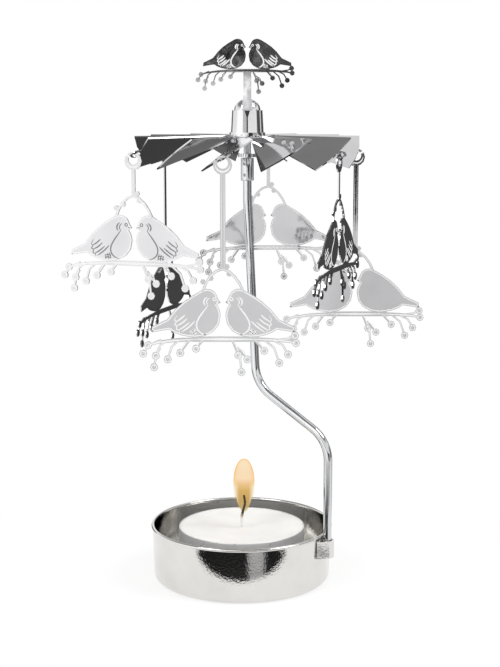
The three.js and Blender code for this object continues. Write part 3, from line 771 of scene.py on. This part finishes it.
def flame_shell(name, inset, material, width=1, depth=1, back=0):
    """A round shell, or one that is pressed flat and bent backwards."""
    bottom, top = FLAME_BOTTOM + inset, FLAME_TOP - inset
    profile = []
    for i in range(FLAME_STEPS + 1):
        t = i / FLAME_STEPS
        radius = (FLAME_RADIUS - inset) * flame_swell(t) / FLAME_FULL_SWELL
        profile.append((radius, bottom + (top - bottom) * t))
    shape = bmesh.new()
    lathe(shape, profile, segments=48)
    for vert in shape.verts:
        reach = math.hypot(vert.co.x, vert.co.y)
        vert.co = (FLAME_SHIFT * MM + width * vert.co.x, depth * vert.co.y + back * reach, vert.co.z)
    return finish_mesh(name, shape, material)


# Etched lines on the ornaments, in millimetres from the top of the arch, with y upwards.
# The bird is the right-hand one, and the other one mirrors it.

FINE = 0.28
BOLD = 0.4
BRANCH_LINE = 0.7
TOP_LINE_WEIGHT = 1.6
BORDER_INSET = 0.38
BERRY_LINE_RADIUS = 0.72
RING_LINE_RADIUS = 2.05
RING_LINE_START = math.radians(185)
RING_LINE_END = math.radians(355)
STRIP_START = 0.2
STALK_BOW_ALONG = 0.8
STALK_BOW_DOWN = 0.2

# The share of a line's width that its ends keep, and how fast it gets to full width
TIP_WIDTH = 0.35
TIP_GROWTH = 2.6

# Lines that cross stand at heights of their own
ETCH_DEPTH = 0.03
BRANCH_DEPTH = 0.8 * ETCH_DEPTH
BOUGH_DEPTH = 0.6 * ETCH_DEPTH
SPRIG_DEPTH = 0.4 * ETCH_DEPTH
BERRY_DEPTH = 1.2 * ETCH_DEPTH
FINE_DETAIL_DEPTH = 1.3 * ETCH_DEPTH

bird_outline = [
    [(0.6, -9.4), (1.5, -8.3), (1.6, -7.6)],
    [(1.6, -7.6), (2.1, -5.9), (4.2, -5.1), (5.8, -6)],
    [(5.8, -6), (9.6, -8.1), (12.4, -9.8), (15.5, -14.2)],
    [(15.5, -14.2), (19.7, -16.2)],
    [(19.7, -16.2), (19.9, -17.8)],
    [(19.9, -17.8), (16.8, -17.3), (14.9, -17)],
    [(14.9, -17), (13.2, -18.4), (10.4, -19.1), (7.6, -19.2)],
    [(7.6, -19.2), (3.6, -19.2), (0.5, -16.6), (0.65, -13.2)],
    [(0.65, -13.2), (0.7, -11.2), (1.7, -10.1)],
    [(1.7, -10.1), (0.6, -9.4)],
]
bird_lines = [
    (BOLD, [(4.1, -10.2), (5.0, -11.4), (6.4, -13.3), (7.3, -15.2), (7.1, -16.9), (6.0, -18.0),
            (4.6, -18.5)]),
    (BOLD, [(4.4, -7.9), (5.1, -8.6), (5.3, -9.5), (4.9, -10.3)]),
    (FINE, [(3.7, -8.1), (4.3, -8.7), (4.5, -9.5), (4.1, -10.2)]),
    (BOLD, [(7.8, -14.6), (9.4, -16.2), (11.5, -17.7)]),
    (BOLD, [(9.2, -14.9), (10.8, -16.2), (12.3, -17.1)]),
    (BOLD, [(9.9, -13.9), (11.3, -15.1), (12.8, -15.9)]),
    (BOLD, [(10.5, -12.9), (11.6, -13.9), (12.9, -14.7)]),
    (FINE, [(12.7, -13.0), (13.4, -14.3), (12.9, -14.8), (13.4, -15.6), (12.8, -16.0), (12.9, -16.9),
            (12.2, -17.2), (12.1, -17.9)]),
    (FINE, [(7.9, -16.7), (7.5, -17.4), (7.4, -18.3)]),
    (FINE, [(8.5, -16.9), (8.2, -17.7), (8.1, -18.7)]),
    (FINE, [(9.1, -17.2), (8.9, -18.0), (8.9, -18.7)]),
    (FINE, [(7.3, -17.7), (8.1, -17.3), (8.9, -17.5)]),
    (FINE, [(7.2, -18.4), (8.2, -18.0), (9.3, -18.3)]),
    (FINE, [(1.2, -9.35), (1.9, -9.3)]),
]

# The eye's place and radius, the branch, and its boughs and sprigs, each from one point to its berry
eye = (2.35, -8.5, 0.42)
branch = [(-7, BRANCH_LEVEL), (8, BRANCH_LEVEL)]
boughs = [
    (-7, BRANCH_LEVEL, -20.8, -21.4),
    (8, BRANCH_LEVEL, 20.2, -20.8),
]
sprigs = [
    (-17.2, -20, -22.2, -23.8),
    (-15.5, -20, -18.7, -24.4),
    (-17.4, -22.2, -19.2, -27.6),
    (-12.2, -19.9, -15.4, -25.4),
    (-9.2, -19.9, -11.9, -23.6),
    (-5.4, -19.9, -7.5, -22.4),
    (2.4, -19.9, 4.2, -24.2),
    (4, -22, 6.7, -25.4),
    (4, -23, 5.1, -29),
    (8.6, -19.9, 11.4, -23),
    (11.4, -19.9, 15.6, -26.4),
    (13.6, -19.9, 18, -24),
    (14.8, -20, 19.9, -18.7),
]

# The two sides of the arch
ribs = [
    [(0, -0.1), (3.6, -1.2), (5.7, -6.6)],
    [(0, -0.1), (-4.1, -0.8), (-5.6, -6.6)],
]


def stalk_line(from_x, from_y, to_x, to_y, steps):
    bow = (from_x + STALK_BOW_ALONG * (to_x - from_x), from_y + STALK_BOW_DOWN * (to_y - from_y))
    return bezier([(from_x, from_y), bow, (to_x, to_y)], steps)


def bird_border():
    """The bird's outline, moved inwards."""
    outline = [place for segment in bird_outline for place in bezier(segment, steps=4)[:-1]]
    border = []
    for i, (x, y) in enumerate(outline):
        before, after = outline[i - 1], outline[(i + 1) % len(outline)]
        along = Vector((after[0] - before[0], after[1] - before[1])).normalized()
        border.append((x + BORDER_INSET * along.y, y - BORDER_INSET * along.x))
    return border


def ribbon(shape, line, width, closed, to_world, depth=ETCH_DEPTH):
    """A thin raised line that narrows to its ends, or a closed one of even width."""
    count = len(line)
    rows = []
    for i in range(count):
        before = line[(i - 1) % count] if closed else line[max(i - 1, 0)]
        after = line[(i + 1) % count] if closed else line[min(i + 1, count - 1)]
        along = Vector((after[0] - before[0], after[1] - before[1])).normalized()
        taper = 1 if closed else min(1, TIP_WIDTH + TIP_GROWTH * min(i, count - 1 - i) / count)
        half = width * taper / 2
        left = (line[i][0] - along.y * half, line[i][1] + along.x * half)
        right = (line[i][0] + along.y * half, line[i][1] - along.x * half)
        rows.append([
            shape.verts.new(to_world(*place, height))
            for place, height in ((left, 0), (left, depth), (right, depth), (right, 0))
        ])
    pairs = list(zip(rows, rows[1:]))
    if closed:
        pairs.append((rows[-1], rows[0]))
    for low, high in pairs:
        for k in range(4):
            shape.faces.new((low[k], low[(k + 1) % 4], high[(k + 1) % 4], high[k]))
    if not closed:
        shape.faces.new(rows[0][::-1])
        shape.faces.new(rows[-1])


def draw_edges(shape, to_world):
    """Lines along the birds' edges, the branch and its twigs."""
    for side in (1, -1):
        ribbon(shape, [(side * x, y) for x, y in bird_border()], FINE, True, to_world)
    ribbon(shape, [branch[0], (0, BRANCH_LEVEL), branch[1]], BRANCH_LINE, False, to_world, BRANCH_DEPTH)
    for bough in boughs:
        ribbon(shape, stalk_line(*bough, steps=3), BOLD, False, to_world, BOUGH_DEPTH)
    for sprig in sprigs:
        ribbon(shape, stalk_line(*sprig, steps=2), FINE, False, to_world, SPRIG_DEPTH)


def draw_details(shape, to_world, weight=1):
    """The birds' feathers, collars, feet and eyes."""
    for side in (1, -1):
        for width, points in bird_lines:
            line = rounded([(side * x, y) for x, y in points])
            depth = ETCH_DEPTH if width == BOLD else FINE_DETAIL_DEPTH
            ribbon(shape, line, weight * width, False, to_world, depth)
        x, y, radius = eye
        ribbon(shape, circle(side * x, y, radius, steps=16), FINE, True, to_world)


def draw_berries(shape, to_world):
    """A ring on each berry, which sits at the end of a twig."""
    for *_, x, y in [*boughs, *sprigs]:
        ring = circle(x, y, BERRY_LINE_RADIUS, steps=16)
        ribbon(shape, ring, FINE, True, to_world, BERRY_DEPTH)


def draw_hanger(shape, drop, half_width, to_world):
    """Lines on the arch, along the strip above it and on the ring."""
    for rib in ribs:
        ribbon(shape, bezier(rib, steps=4), FINE, False, to_world)
    for x in (-half_width, half_width):
        ribbon(shape, [(x, STRIP_START), (x, drop / 2), (x, drop - STRIP_END)], FINE / 2, False, to_world)
    band = arc(0, drop - RING_SAG / 2, RING_LINE_RADIUS, RING_LINE_START, RING_LINE_END, steps=16)
    ribbon(shape, band, BOLD, False, to_world)


def on_pendant(number, side):
    """From the drawing to the outer face of an ornament, side 1, or its inner face, side -1."""
    joints = frame["record"]["behaviour"]["joints"]
    swing = next(joint for joint in joints if joint["name"] == f"pendant_{number + 1}_swing")
    pivot = Vector(swing["pos_m"])
    yaw = PENDANT_YAWS[number]
    across = Vector((math.cos(yaw), math.sin(yaw), 0))
    normal = Vector((-math.sin(yaw), math.cos(yaw), 0))
    if normal.dot(Vector((pivot.x, pivot.y, 0))) < 0:
        normal.negate()
    drop = PENDANT_DROPS[number % 2]

    def to_world(u, v, w):
        up = v - drop - RING_HANG
        return pivot + (across * u + Vector((0, 0, up)) + side * normal * (SHEET / 2 + w)) * MM
    return to_world


def on_top_figure(side):
    """From the drawing to the front of the top figure, side 1, or its back, side -1."""
    def to_world(u, v, w):
        x = POST_OFFSET * math.cos(STEM_BEARING) + TOP_UNIT * u
        y = POST_OFFSET * math.sin(STEM_BEARING) - side * (SHEET / 2 + w)
        return Vector((x, y, TOP_BRANCH_HEIGHT + TOP_UNIT * (v - BRANCH_LEVEL))) * MM
    return to_world


def pendant_edges(number):
    shape = bmesh.new()
    line_at = STRIP_WIDTHS[number % 2] / 2 - BORDER_INSET
    for side in (1, -1):
        place = on_pendant(number, side)
        draw_edges(shape, place)
        draw_hanger(shape, PENDANT_DROPS[number % 2], line_at, place)
        draw_berries(shape, place)
    return finish_mesh(f"pendant_{number + 1}_edges", shape, EDGE_PAINTED_SHADE[number])


def pendant_etching(number):
    shape = bmesh.new()
    draw_details(shape, on_pendant(number, 1))
    return finish_mesh(f"pendant_{number + 1}_etching", shape, DETAIL_PAINTED_SHADE[number])


# The top figure's outlines take the etched copy with painted shade, and its details the light one
def top_figure_edges():
    shape = bmesh.new()
    for side in (1, -1):
        draw_edges(shape, on_top_figure(side))
    return finish_mesh("top_figure_edges", shape, etched_painted_shade)


def top_figure_etching():
    shape = bmesh.new()
    draw_details(shape, on_top_figure(1), TOP_LINE_WEIGHT)
    return finish_mesh("top_figure_etching", shape, etched_light)


# The lines on each ornament: the light etching, or a copy with painted shade where they catch less light
EDGE_PAINTED_SHADE = [etched_light, etched_painted_shade, etched_light, etched_light, etched_painted_shade, etched_light]
DETAIL_PAINTED_SHADE = [etched_light, etched_light, etched_light, etched_light, etched_light, etched_painted_half_shade]


# Pieces on their bodies

tray = make_tray()
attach(tray, "base")
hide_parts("tray")

stem = make_stem()
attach(stem, "base")
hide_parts("stem_wire")

sleeve = make_sleeve()
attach(sleeve, "base")
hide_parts("crimped_sleeve")

foil_cup = make_foil_cup()
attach(foil_cup, "tealight")
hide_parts("tealight_cup")

wax_fill = make_wax()
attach(wax_fill, "tealight")
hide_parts("tealight_wax")

wick = make_wick()
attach(wick, "tealight")
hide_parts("wick")

flame_shapes = [
    flame_shell("flame_heart", FLAME_RIM, flame_heart),
    flame_shell("flame_sheet", FLAME_RIM, flame_sheet, width=0.93, depth=0.15, back=0.3),
    flame_shell("flame_rim", 0, flame_rim),
]
for flame in flame_shapes:
    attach(flame, "tealight")

for number in range(len(PENDANT_YAWS)):
    for lines in (pendant_edges(number), pendant_etching(number)):
        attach(lines, f"pendant_{number + 1}")

# A dark sheet of painted shade in the cap's seam
seam = make_seam_shade()
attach(seam, "rotor")

for lines in (top_figure_edges(), top_figure_etching()):
    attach(lines, "rotor")


# Floor, in metres: white to the camera and in reflections further out, with a soft shadow close by

FLOOR_LEVEL = -0.00005
FLOOR_SIDE = 0.5
FLOOR_FRONT = -0.09
FLOOR_BACK = 0.06
SHADOW_START = 0.03
SHADOW_END = 0.12
NEAR_WHITE = 0.74

# A notch in the front edge, through which the tray mirrors the world's dark field below the table
floor_notch = [
    (-0.052, FLOOR_FRONT),
    (-0.047, -0.043),
    (0.047, -0.043),
    (0.037, FLOOR_FRONT),
]


def floor_white():
    made, tree, shader = new_material("floor_white")
    place = object_place(tree)
    speckle = noise(tree, place, scale=40, detail=3)
    paint = tint(tree, speckle, (0.93, 0.93, 0.925), (0.95, 0.95, 0.945))
    tree.links.new(paint, shader.inputs["Base Color"])
    shader.inputs["Roughness"].default_value = 0.9
    shader.inputs["Specular IOR Level"].default_value = 0
    white = add(tree, "ShaderNodeEmission", Color=(1, 1, 1, 1), Strength=1.0)
    path = tree.nodes.new("ShaderNodeLightPath").outputs
    mirrored = calculate(tree, "MAXIMUM", path["Is Glossy Ray"], path["Is Transmission Ray"])
    seen = calculate(tree, "MAXIMUM", path["Is Camera Ray"], mirrored)
    distance = add(tree, "ShaderNodeVectorMath", {"operation": "LENGTH"}, Vector=place).outputs["Value"]
    far = spread(tree, distance, NEAR_WHITE, 1, SHADOW_START, SHADOW_END, "SMOOTHSTEP")
    share = calculate(tree, "MULTIPLY", seen, far)
    layered(tree, share, shader.outputs["BSDF"], white.outputs["Emission"])
    return made


def make_floor():
    corners = [
        (-FLOOR_SIDE, FLOOR_FRONT),
        *floor_notch,
        (FLOOR_SIDE, FLOOR_FRONT),
        (FLOOR_SIDE, FLOOR_BACK),
        (-FLOOR_SIDE, FLOOR_BACK),
    ]
    shape = bmesh.new()
    shape.faces.new([shape.verts.new((x, y, FLOOR_LEVEL)) for x, y in corners])
    floor = finish_mesh("floor", shape, floor_white())


make_floor()


# World: a white studio with light and dark fields, which the chrome mirrors

RIGHT = Vector((1, 0, 0))
LEFT = -RIGHT
BACK = Vector((0, 1, 0))
FRONT = -BACK
UP = Vector((0, 0, 1))
DOWN = -UP
WHITE_LEVEL = 1
SHADE_LEVEL = 0.85


def make_world():
    world = bpy.data.worlds.new("studio")
    world.use_nodes = True
    tree = world.node_tree
    tree.nodes.clear()
    way = tree.nodes.new("ShaderNodeTexCoord").outputs["Generated"]

    def facing(direction, start, full):
        """From 0 to 1 as the way turns to a direction, by the cosine between them."""
        toward = add(tree, "ShaderNodeVectorMath", {"operation": "DOT_PRODUCT"})
        plug(tree, toward.inputs[0], way)
        plug(tree, toward.inputs[1], Vector(direction).normalized())
        return spread(tree, toward.outputs["Value"], 0, 1, start, full, "SMOOTHSTEP")

    def all_of(first, *others):
        for other in others:
            first = calculate(tree, "MULTIPLY", first, other)
        return first

    def band(axis, start, full, fade, end):
        """From 0 to 1 and back to 0 along an axis."""
        return all_of(facing(axis, start, full), facing(-axis, -end, -fade))

    behind_camera = all_of(facing(FRONT, 0.5, 0.75), facing(DOWN, -0.05, -0.042))
    right_window = all_of(behind_camera, facing(RIGHT, 0.0015, 0.003), facing(UP, -0.018, -0.013))
    right_wall = band(UP, -0.24, -0.2, -0.01, 0)
    cap_height = band(UP, 0.055, 0.065, 0.13, 0.14)
    strip_height = band(UP, -0.092, -0.086, -0.04, -0.035)
    below_table = facing(DOWN, 0.22, 0.29)
    path = tree.nodes.new("ShaderNodeLightPath").outputs

    # Each field covers those before it
    fields = [
        # The lit wall on the left
        (facing((-0.75, -0.66, 0), 0.75, 0.95), 1.35),
        # The ceiling, with one light above the back and one above the front
        (facing(UP, 0.35, 0.6), 0.29),
        (facing((0.3, 0.35, 0.89), 0.92, 0.95), 1.05),
        (facing((-0.22, -0.81, 0.54), 0.965, 0.98), 1.6),
        # The dark window behind the camera, which the top figure mirrors
        (all_of(behind_camera, facing(UP, 0.01, 0.018)), 0.02),
        (right_window, 0.1),
        (all_of(right_window, facing(DOWN, -0.012, -0.008)), 0.012),
        # The bright slit that its stalk mirrors
        (all_of(band(RIGHT, -0.01, -0.008, 0.0018, 0.0028), facing(FRONT, 0.9999, 0.99995)), 1.75),
        # Grey in the cap beside its seam
        (all_of(facing(FRONT, 0.82, 0.86), facing(LEFT, 0.02, 0.04), cap_height), 0.6),
        # Grey in the right-hand ornament, and the dark strip above it
        (all_of(facing(FRONT, 0.97, 0.98), facing(RIGHT, 0.05, 0.06), facing(DOWN, 0.1, 0.105)), 0.86),
        (all_of(facing(FRONT, 0.988, 0.991), facing(RIGHT, 0.058, 0.064), strip_height), 0.03),
        # The right wall, darker in its front part and far out
        (all_of(right_wall, facing((0.85, -0.53, 0), 0.8, 0.86)), 0.42),
        (all_of(right_wall, facing((0.36, -0.93, 0), 0.966, 0.978)), 0.05),
        (all_of(facing(RIGHT, 0.94, 0.97), facing(UP, -0.2, -0.15)), 0.1),
        # Two dark fields at the back, which the turned ornaments mirror
        (facing((0.62, 0.78, 0), 0.86, 0.95), 0.08),
        (facing((-0.55, 0.83, 0), 0.95, 0.98), 0.1),
        # The dark below the table, with a light gap in front and grey towards the back
        (below_table, 0.014),
        (all_of(below_table, facing((0.31, -0.9, -0.31), 0.976, 0.988)), 0.5),
        (facing(DOWN, 0.4, 0.46), 0.07),
        (all_of(below_table, facing(BACK, 0.75, 0.82)), 0.17),
        # Even light on dull surfaces, and white for the camera
        (path["Is Diffuse Ray"], SHADE_LEVEL),
        (path["Is Camera Ray"], WHITE_LEVEL),
    ]
    level = WHITE_LEVEL
    for share, brightness in fields:
        level = mixed(tree, "FLOAT", share, level, brightness)
    background = add(tree, "ShaderNodeBackground", Color=(1, 1, 1, 1), Strength=level)
    output = tree.nodes.new("ShaderNodeOutputWorld")
    tree.links.new(background.outputs["Background"], output.inputs["Surface"])
    scene.world = world


make_world()


# Soft boxes overhead

LIT_PLACE = (0, 0, 0.07)


def soft_box(name, place, target, size, power):
    lamp = bpy.data.lights.new(name, "AREA")
    lamp.size = size
    lamp.energy = power
    made = bpy.data.objects.new(name, lamp)
    made.location = place
    made.rotation_euler = (Vector(target) - Vector(place)).to_track_quat("-Z", "Y").to_euler()
    scene.collection.objects.link(made)


soft_box("key_light", place=(-0.55, -0.5, 0.75), target=LIT_PLACE, size=0.4, power=2.5)
soft_box("fill_light", place=(0.6, -0.2, 0.8), target=LIT_PLACE, size=0.4, power=3.2)


# Camera at the photograph's viewing angle

CAMERA_PLACE = (0.00256, -0.42597, 0.14709)
CAMERA_DIP = 9.51
FOCAL_LENGTH = 77.41
SENSOR_WIDTH = 36
NEAREST_SEEN = 0.01

lens = bpy.data.cameras.new("camera")
lens.lens = FOCAL_LENGTH
lens.sensor_width = SENSOR_WIDTH
lens.clip_start = NEAREST_SEEN
camera = bpy.data.objects.new("camera", lens)
camera.location = CAMERA_PLACE
camera.rotation_euler = (math.radians(90 - CAMERA_DIP), 0, 0)
scene.collection.objects.link(camera)
scene.camera = camera
